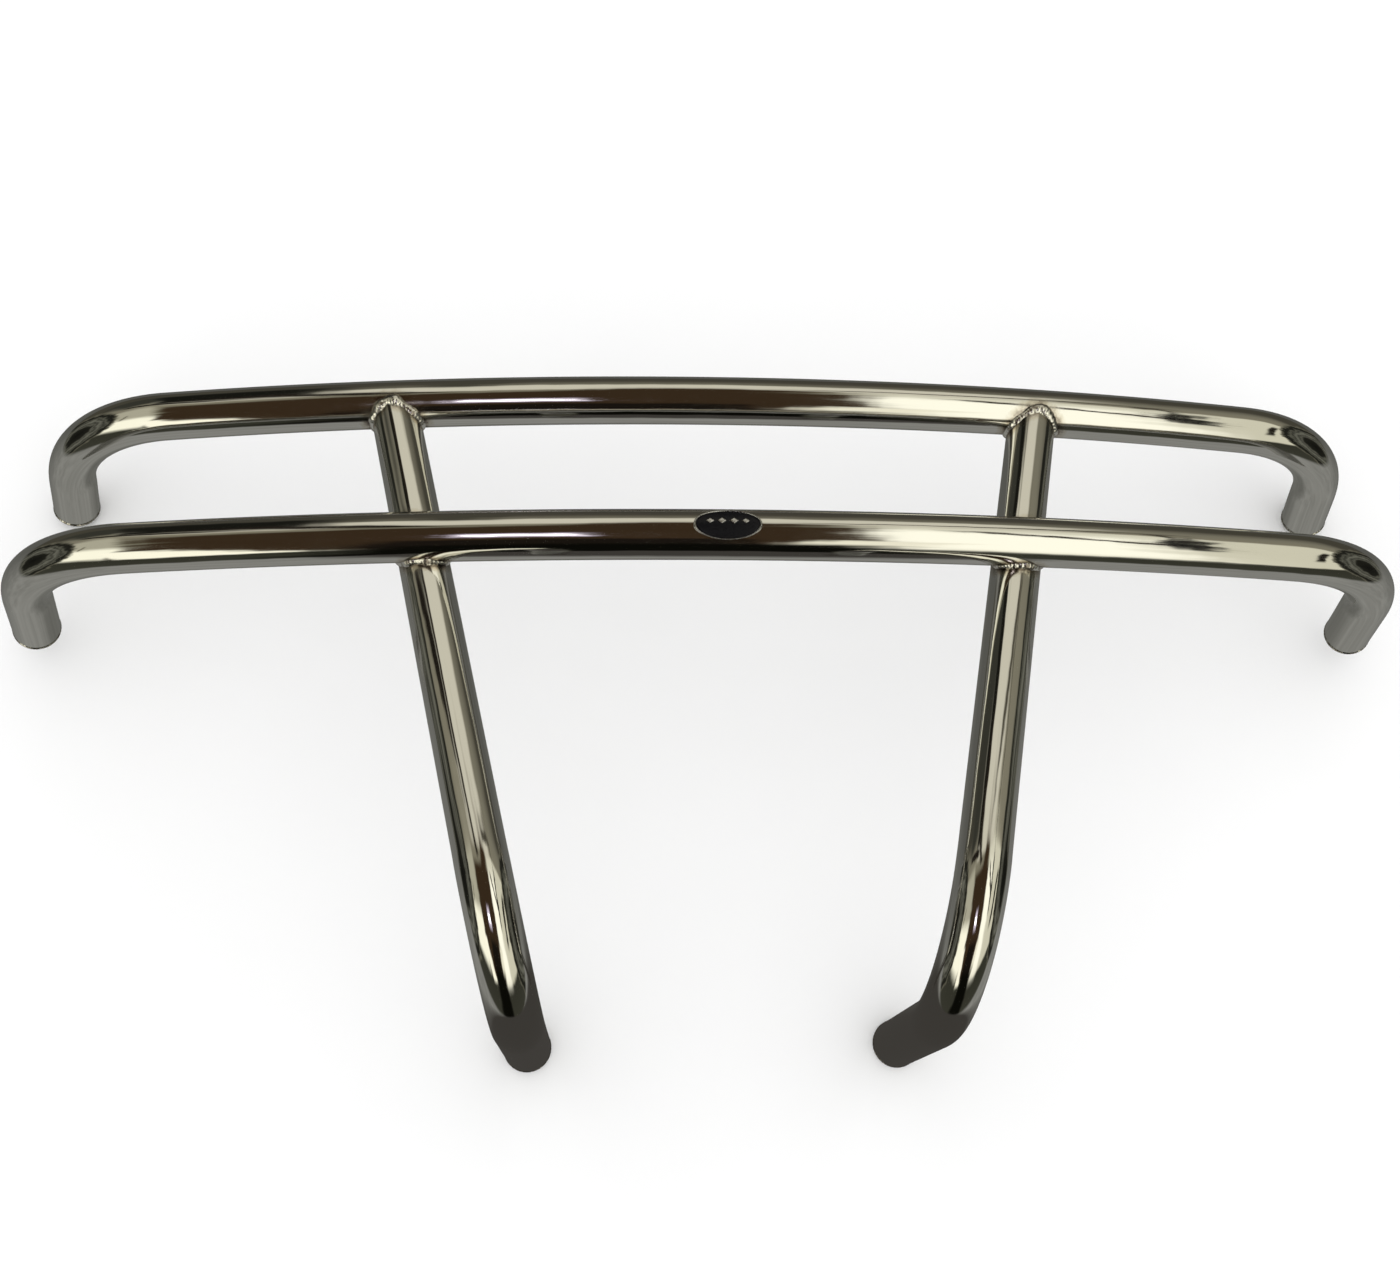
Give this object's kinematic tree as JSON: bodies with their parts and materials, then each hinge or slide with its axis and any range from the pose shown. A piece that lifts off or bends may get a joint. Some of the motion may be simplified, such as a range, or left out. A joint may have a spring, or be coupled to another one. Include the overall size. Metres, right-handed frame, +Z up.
{
  "type": "front grille guard",
  "caption": "Polished stainless tube guard for a small vehicle's nose: bowed cross hoops with turned-back ends, welded to bent upright legs that bolt on at their feet.",
  "frame": {"origin": "On the floor under the middle of the guard's bounding box, with the guard lying on its back on the ends of the upper hoop and on its feet", "axes": "+Z up out of the guard's front face, which is the vehicle's forward direction when fitted; +Y from the feet to the upper hoop, which is the vehicle's upward direction when fitted; +X across. Left is the -X side, as seen from in front. The fitted guard is this frame turned about X by 99.5 degrees, so that the hoop planes come level"},
  "size_m": [1.1718, 0.532, 0.2742],
  "materials": {
    "polished_stainless": "mirror-polished stainless steel with fine polishing scratches",
    "weld_metal": "rippled weld bead, lightly polished",
    "plug_steel": "turned face, satin",
    "badge_silver": "bright plated",
    "badge_black": "gloss black resin",
    "badge_tape": "matt foam tape"
  },
  "bodies": {
    "root": {"upper_hoop": "polished_stainless", "lower_hoop": "polished_stainless", "left_leg": "polished_stainless", "right_leg": "polished_stainless", "upper_hoop_cap_left": "polished_stainless", "upper_hoop_cap_right": "polished_stainless", "lower_hoop_cap_left": "polished_stainless", "lower_hoop_cap_right": "polished_stainless", "weld_upper_left": "weld_metal", "weld_upper_right": "weld_metal", "weld_lower_left": "weld_metal", "weld_lower_right": "weld_metal", "upper_hoop_end_weld_left": "weld_metal", "upper_hoop_end_weld_right": "weld_metal", "lower_hoop_end_weld_left": "weld_metal", "lower_hoop_end_weld_right": "weld_metal", "left_foot_end_weld": "weld_metal", "right_foot_end_weld": "weld_metal", "left_foot_plug": "plug_steel", "right_foot_plug": "plug_steel", "badge_bezel": "badge_silver", "badge_face": "badge_black", "badge_adhesive": "badge_tape"}
  },
  "joints": []
}
